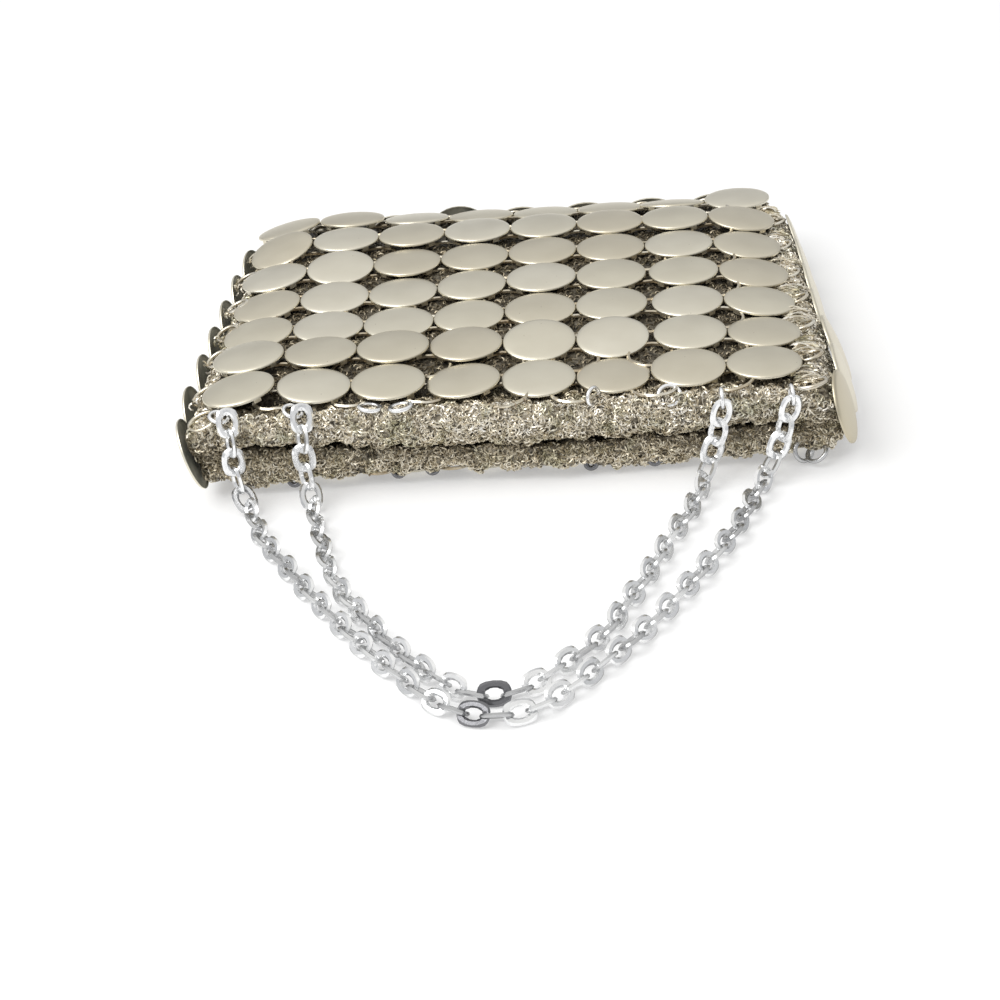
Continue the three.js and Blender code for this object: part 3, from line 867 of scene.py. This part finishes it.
def model_thread_loop():
    """One loop of yarn: half of a small ring, closed at its cut ends."""
    put_down()
    bpy.ops.mesh.primitive_torus_add(
        major_radius=THREAD_BEND, minor_radius=THREAD_WIRE, major_segments=8, minor_segments=3)
    loop = bpy.context.object
    edit(loop)
    pick_points(loop, lambda co: co.y < -0.05)
    bpy.ops.mesh.delete(type="VERT")
    bpy.ops.mesh.select_all(action="SELECT")
    bpy.ops.mesh.fill_holes(sides=0)
    face_outwards()
    put_down()
    return loop


def thread_places(pouch):
    """Loops strewn over the crochet where it shows, and the brightness of each, with painted shade between
    the discs, under the first row's rims and along the slit.
    """
    mesh = pouch.data
    mesh.calc_loop_triangles()
    corners = np.empty(len(mesh.loop_triangles) * 3, dtype=np.int32)
    mesh.loop_triangles.foreach_get("vertices", corners)
    points = np.empty(len(mesh.vertices) * 3)
    mesh.vertices.foreach_get("co", points)
    a, b, c = (points.reshape(-1, 3)[corners.reshape(-1, 3)[:, k]] for k in range(3))
    cross = np.cross(b - a, c - a)
    size = np.linalg.norm(cross, axis=1)
    normal = cross / np.maximum(size, 1e-9)[:, None]
    x, y, z = ((a + b + c) / 3).T
    up = normal[:, 2]

    def from_disc(across, along):
        return np.hypot(across / PITCH % 1 - 0.5, (along / PITCH + 0.5) % 1 - 0.5) * PITCH

    lips = y < -5
    outside = np.abs(x - slump(z)) > np.interp(y, [-5, 100, 140], [92, 88.5, 84])
    front = (up > 0.6) & (z > 17.5) & ~lips
    back = (up < -0.6) & (z < 6.5) & ~lips
    end = y > 144.5
    density = np.zeros(len(size))
    density[outside | end] = SIDE_LOOPS
    bare = from_disc(x, y) > UNDER_DISC
    density[front] = np.where(bare, BETWEEN_LOOPS, 0.0)[front]
    bare = from_disc(x - slump(BACK_Z), y - BACK_SHIFT - BACK_SLIP) > UNDER_DISC
    density[back] = np.where(bare, BACK_LOOPS, 0.0)[back]
    density[front & outside] = STRIP_LOOPS
    density[lips] = np.where((up < -0.5) & (z < 9), UNDERSIDE_LOOPS, LIP_LOOPS)[lips]
    density[lips & (np.abs(up) > 0.5) & (np.abs(z - SLIT_Z) < 7) & (y > -12)] = SLIT_LOOPS
    chosen = np.repeat(np.arange(len(size)), seeded.poisson(density * size / 2))
    u = seeded.random((len(chosen), 2))
    over = u.sum(axis=1) > 1
    u[over] = 1 - u[over]
    spot = a[chosen] + u[:, :1] * (b - a)[chosen] + u[:, 1:] * (c - a)[chosen]
    places = []
    for at, out in zip(spot, normal[chosen]):
        stand = Vector((0, 1, 0)).rotation_difference(Vector(out)).to_matrix().to_4x4()
        spin = turn("Y", seeded.uniform(0, 360)) @ turn("X", seeded.uniform(-75, 75))
        grow = (seeded.uniform(0.9, 1.8), seeded.uniform(0.9, 1.4), seeded.uniform(0.9, 1.2), 1)
        foot = Matrix.Translation(Vector(at) - Vector(out) * THREAD_DEPTH)
        places.append(foot @ stand @ spin @ Matrix.Diagonal(grow))
    shown = seeded.beta(2.7, 1.0, len(chosen))
    # Painted shade: loops between the discs, loops on the upper lip just under the first row of discs, and
    # loops along the slit between the lips are drawn darker.
    between = ((front | back) & ~outside)[chosen]
    below_slit = np.interp(x, *np.array(LIP_LINE)[:, :2].T) - z
    by_slit = np.where(lips, np.interp(below_slit, [-4, -0.5, 3, 7], [1, 0.35, 0.5, 0.76]), 1)[chosen]
    shaded = ((y > -11.5) & (y < -4) & (z > 23) & (np.abs(x) < 90))[chosen]
    strip = (front & outside & (x > 0))[chosen]
    shown = np.where(strip, 0.35 + 0.65 * shown, shown)
    return places, shown * np.where(between, 0.2, np.where(shaded, 0.4, by_slit))


# Rings and chain
def model_ring(radius, wire, turns, sides, oval):
    put_down()
    bpy.ops.mesh.primitive_torus_add(
        major_radius=radius, minor_radius=wire, major_segments=turns, minor_segments=sides)
    ring = bpy.context.object
    edit(ring)
    bpy.ops.transform.resize(value=(oval, 1 / oval, 1))
    pick_points(ring, lambda co: co.x > 0 and 0 < co.y < radius * 0.3)
    bpy.ops.transform.translate(value=(0, 0, wire * 0.35))
    put_down()
    return ring


def model_link():
    put_down()
    bpy.ops.mesh.primitive_torus_add(
        major_radius=LINK_BEND, minor_radius=LINK_WIRE, major_segments=20, minor_segments=6)
    link = bpy.context.object
    edit(link)
    for start, pull in LINK_PULLS:
        for side in (-1, 1):
            pick_points(link, lambda co: co.x * side > start)
            bpy.ops.transform.translate(value=(side * pull, 0, 0))
    bpy.ops.mesh.select_all(action="SELECT")
    bpy.ops.transform.resize(value=LINK_BAND)
    put_down()
    return link


def link_places(route):
    fine = smooth_through(route, [0, 1, 2], 4000)
    run = np.concatenate([[0], np.cumsum(np.linalg.norm(np.diff(fine, axis=0), axis=1))])
    count = int(run[-1] // LINK_PITCH) + 1
    at = np.linspace(0, run[-1], count)
    spots = np.stack([np.interp(at, run, fine[:, k]) for k in range(3)], axis=1)
    places = []
    for i, spot in enumerate(spots):
        along = Vector(spots[min(i + 1, count - 1)] - spots[max(i - 1, 0)]).normalized()
        facing = Vector((0, -abs(along.z), 1 - abs(along.z)))
        facing = (facing - along * facing.dot(along)).normalized()
        base = Matrix((along, facing.cross(along), facing)).transposed().to_4x4()
        hang = LEFT_HANG if i < count / 2 else RIGHT_HANG
        rolls = hang if abs(along.z) > STEEP else FLOOR_LIE
        roll = rolls[i % 2] + seeded.uniform(-8, 8)
        lie = base @ turn("X", roll) @ turn("Z", seeded.uniform(-5, 5))
        oval = math.hypot(lie[2][0] * LINK_HALF_LENGTH, lie[2][1] * LINK_HALF_WIDTH)
        below = oval + abs(lie[2][2]) * LINK_HALF_THICK
        places.append(Matrix.Translation((spot[0], spot[1], max(spot[2], below + 0.05))) @ lie)
    return places


def link_tones_and_shade(places):
    """Every link bright, apart from those that lie on edge, drawn dark as painted shade, and the two drawn
    dark as a painted reflection of the dark of the room.
    """
    tones = seeded.uniform(0.1, 1, len(places))
    on_edge = np.array([place.translation.z < LYING_Z and i % 2 == 0 for i, place in enumerate(places)])
    tones = np.where(on_edge, ON_EDGE_SHADE_TONE + ON_EDGE_SPREAD * tones, tones)
    for x, y in DARK_REFLECTION_LINKS:
        away = [(place.translation.xy - Vector((x, y))).length for place in places]
        if min(away) < LINK_PITCH:
            tones[int(np.argmin(away))] = 0
    return tones


def mail_ring_places():
    """The large rings under the joints of the discs and along the mouth."""
    places = []
    for row in range(1, ROWS):
        y = (row - 0.5) * PITCH
        height, slope = front_surface(y)
        for column in range(1, COLUMNS):
            x = (column - 4) * PITCH
            sunk = max(sink(x, y - PITCH / 2), sink(x, y + PITCH / 2))
            lie = turn("X", math.degrees(math.atan(slope))) @ turn("Z", seeded.uniform(0, 360))
            places.append(Matrix.Translation((x, y, height - sunk - BELOW_FRONT)) @ lie)
            spot = (x + slump(BACK_Z), y + BACK_SHIFT + BACK_SLIP, BACK_Z + ABOVE_BACK)
            places.append(Matrix.Translation(spot) @ turn("Z", seeded.uniform(0, 360)))
    for column, (x_off, y, lift, tip, sway) in enumerate(MOUTH_RINGS, 1):
        x = (column - 4) * PITCH
        lie = turn("X", tip) @ turn("Y", sway) @ turn("Z", seeded.uniform(0, 360))
        places.append(Matrix.Translation((x + x_off, y, MOUTH_RING_Z + lift - sink(x, 0))) @ lie)
        lie = turn("X", -4 + seeded.normal(0, 2)) @ turn("Z", seeded.uniform(0, 360))
        spot = (x + slump(BACK_Z) + seeded.normal(0, 0.8), BACK_MOUTH_RING_Y, BACK_MOUTH_RING_Z)
        places.append(Matrix.Translation(spot) @ lie)
    return places


def edge_ring_places():
    """The smaller, stouter rings down both sides, along the closed end and at the corners of the mouth."""
    places = []
    for y, left_x, left_z, right_x, right_z in EDGE_RING_LINE:
        for side, x, z in ((-1, left_x, left_z), (1, right_x, right_z)):
            lean, tip = EDGE_RING_LIE[side]
            lie = turn("Y", lean + seeded.normal(0, 4)) @ turn("X", tip + seeded.normal(0, 3))
            places.append(Matrix.Translation((x, y + seeded.normal(0, 0.5), z)) @ lie)
            lie = turn("Y", -side * (LOWER_RING_LEAN + seeded.normal(0, 4)))
            places.append(Matrix.Translation((x - side * 1.5 + slump(8), y, LOWER_RING_Z)) @ lie)
    for column in range(1, COLUMNS):
        x = (column - 4) * PITCH
        lie = turn("X", END_RING_TIP + seeded.normal(0, 4))
        places.append(Matrix.Translation((x, BOTTOM_Y - 6.5, END_RING_Z)) @ lie)
        spot = (x + slump(BACK_Z), BOTTOM_Y - 5.0, LOWER_END_RING_Z)
        places.append(Matrix.Translation(spot) @ turn("X", LOWER_END_RING_TIP))
    size = Matrix.Scale(CORNER_RING_SCALE, 4)
    for x, y, z, tip, lean in CORNER_RINGS:
        places.append(Matrix.Translation((x, y, z)) @ turn("X", tip) @ turn("Y", lean) @ size)
    return places


def chain_ring_places():
    """The wire rings that carry the ends of the chains."""
    size = Matrix.Scale(CHAIN_RING_SCALE, 4)
    return [Matrix.Translation((x, y, z)) @ turn("Z", swing) @ turn("Y", stand) @ size
            for x, y, z, swing, stand in CHAIN_RINGS]


def loose_ring_places():
    """Jump rings left on the crochet."""
    return [Matrix.Translation((x, y, z)) @ turn("X", tip) @ turn("Y", lean) @ Matrix.Scale(scale, 4)
            for x, y, z, tip, lean, scale, tone in LOOSE_RINGS]


def eyelet_places():
    """The stout eyelets that hang half out of the lower edge of the mouth, drawn near black as painted
    shade under the lip.
    """
    return [Matrix.Translation(spot) @ turn("X", EYELET_TIP) for spot in EYELETS]


def wrap_places(rings):
    """Yarn on the edge rings: fanned strands beyond the right ones, windings round the left ones."""
    places = []
    for ring in rings:
        x, y, z = ring.translation
        if z < 15 or abs(x) < 85:
            continue
        for strand in range(STRANDS_ON_A_RING if x > 0 else 0):
            spot = (x + seeded.normal(-1.2, 0.7), y + seeded.uniform(1.2, 11), z + seeded.normal(0.3, 0.35))
            lie = turn("Z", seeded.uniform(-24, 16)) @ turn("Y", seeded.normal(2, 5))
            lie = lie @ turn("X", seeded.uniform(-50, 50))
            drawn_out = Matrix.Diagonal((seeded.uniform(3.2, 5.2), 1.5, 1.4, 1))
            places.append(Matrix.Translation(spot) @ lie @ drawn_out)
        for angle in seeded.uniform(70, 170, 20) if x > 0 else seeded.uniform(170, 300, 18):
            out = EDGE_RING_RADIUS + seeded.normal(0.2, 0.8)
            spot = Matrix.Translation((out, 0, seeded.normal(-0.6, 0.6)))
            on_wire = turn("Z", angle) @ spot @ turn("X", 90)
            wind = turn("Z", seeded.uniform(0, 360)) @ turn("X", seeded.normal(0, 25))
            wind = wind @ Matrix.Scale(seeded.uniform(1.2, 1.7), 4)
            places.append(ring @ on_wire @ wind)
    return places


def stitch_places(rings):
    """Sewing loops that bind the rings of the mouth to the crochet."""
    places = []
    for ring in rings:
        if ring.translation.y > 0:
            continue
        for angle in seeded.uniform(0, 360, STITCHES_ON_A_RING):
            on_wire = turn("Z", angle) @ Matrix.Translation((MAIL_RING_RADIUS, 0, 0)) @ turn("X", 90)
            spin = turn("Z", seeded.uniform(120, 240))
            places.append(ring @ on_wire @ spin @ Matrix.Scale(STITCH_SCALE, 4))
    return places


# Light and floor
def add_floor():
    put_down()
    bpy.ops.mesh.primitive_plane_add(size=8)
    floor = bpy.context.object
    floor.name = "studio_floor"
    edit(floor)
    bpy.ops.mesh.subdivide(number_cuts=7)
    put_down()
    floor.data.materials.append(studio_floor())


def add_light(name, place, aim, size, power):
    data = bpy.data.lights.new(name, "AREA")
    data.shape = "SQUARE"
    data.size = size
    data.energy = power
    light = bpy.data.objects.new(name, data)
    direction = Vector(aim) - Vector(place)
    light.matrix_world = Matrix.Translation(place) @ direction.to_track_quat("-Z", "Y").to_matrix().to_4x4()
    bpy.context.collection.objects.link(light)


def add_studio():
    world = bpy.data.worlds.new("white_room")
    bpy.context.scene.world = world
    world.use_nodes = True
    nodes, links = world.node_tree.nodes, world.node_tree.links
    sky = nodes["Background"]
    place = nodes.new("ShaderNodeTexCoord")
    split = nodes.new("ShaderNodeSeparateXYZ")
    room = nodes.new("ShaderNodeValToRGB")
    for at, shade in ((0.3, (0.66, 0.67, 0.69)), (0.6, (0.93, 0.93, 0.92))):
        room.color_ramp.elements.new(at).color = (*shade, 1)
    room.color_ramp.elements[0].color = (0.46, 0.47, 0.49, 1)
    room.color_ramp.elements[-1].color = (1.0, 0.995, 0.98, 1)
    links.new(place.outputs["Generated"], split.inputs["Vector"])
    links.new(split.outputs["Z"], room.inputs["Fac"])
    links.new(room.outputs["Color"], sky.inputs["Color"])
    sky.inputs["Strength"].default_value = 0.85
    add_light("window_light", (-0.7, -0.35, 1.1), (0, 0, 0), 1.0, 13)
    bpy.context.scene.view_settings.view_transform = "Standard"


add_camera()
add_studio()
add_floor()

disc_metal = champagne_metal()
back_shade_metal = disc_back_painted_shade()
wire_metal = pale_gold_wire()
chain_metal = bright_silver()
ground = crochet_ground()
yarn = metallic_yarn()
sewing = tan_thread()

plain_disc = model_disc()
tabbed_disc = disc_with_tabs([disc_metal, back_shade_metal])
DISC_ROWS = {
    "front_discs": [place for number in range(1, ROWS + 1) for place in front_row(number)],
    "back_discs": [place for number in range(1, ROWS + 1) for place in back_row(number)],
    "bottom_discs": bottom_row(),
    "left_side_discs": side_row(**LEFT_SIDE),
    "right_side_discs": side_row(**RIGHT_SIDE),
}
for node, places in DISC_ROWS.items():
    disc = plain_disc if "side" in node else tabbed_disc
    tones = PLAIN_TONE + (1 - PLAIN_TONE) * seeded.random(len(places))
    # Painted shade: the first disc of the right side row, turned at the mouth corner, is drawn darker.
    if node == "right_side_discs":
        tones[0] = TURNED_DISC_SHADE_TONE
    lay_out(node + "_metal", disc, places, [disc_metal, back_shade_metal], [node], 35, tones)
throw_away(plain_disc)
throw_away(tabbed_disc)

mail_rings = mail_ring_places()
ring = model_ring(MAIL_RING_RADIUS, MAIL_RING_WIRE, turns=22, sides=5, oval=1.03)
lay_out("mail_rings", ring, mail_rings, [wire_metal])
throw_away(ring)
edge_rings = edge_ring_places()
ring = model_ring(EDGE_RING_RADIUS, EDGE_RING_WIRE, turns=20, sides=6, oval=1.06)
tones = seeded.uniform(0.6, 1, len(edge_rings))
lay_out("edge_rings", ring, edge_rings, [wire_metal], tones=tones)
throw_away(ring)

link = model_link()
for node, route in (("outer_chain", OUTER_ROUTE), ("inner_chain", INNER_ROUTE)):
    places = link_places(route)
    lay_out(node + "_links", link, places, [chain_metal], [node], 40, link_tones_and_shade(places))
throw_away(link)

ring = model_ring(JUMP_RING_RADIUS, JUMP_RING_WIRE, turns=24, sides=7, oval=1.02)
end_rings = ["chain_ring_1", "chain_ring_2", "chain_ring_3", "chain_ring_4"]
tones = np.full(len(end_rings), CHAIN_RING_TONE)
lay_out("chain_end_rings", ring, chain_ring_places(), [chain_metal], end_rings, tones=tones)
tones = [loose_ring[-1] for loose_ring in LOOSE_RINGS]
lay_out("loose_jump_rings", ring, loose_ring_places(), [chain_metal], tones=tones)
throw_away(ring)
ring = model_ring(EYELET_RADIUS, EYELET_WIRE, turns=16, sides=8, oval=1.02)
# Painted shade: the eyelets under the lower lip are drawn near black.
lay_out("eyelets_in_painted_shade", ring, eyelet_places(), [chain_metal], tones=np.zeros(len(EYELETS)))
throw_away(ring)

pouch = model_pouch()
threads, thread_tones_and_shade = thread_places(pouch)
loop = model_thread_loop()
for number, first in enumerate(range(0, len(threads), LOOPS_IN_A_PIECE), 1):
    some = slice(first, first + LOOPS_IN_A_PIECE)
    lay_out("yarn_loops_%d" % number, loop, threads[some], [yarn], tones=thread_tones_and_shade[some])
lay_out("edge_stitches", loop, stitch_places(mail_rings), [sewing])
wraps = wrap_places(edge_rings)
lay_out("ring_wraps", loop, wraps, [yarn], tones=seeded.beta(3.5, 1.3, len(wraps)))
throw_away(loop)
set_down(pouch, "crocheted_pouch", [ground], ["pouch"], 60)
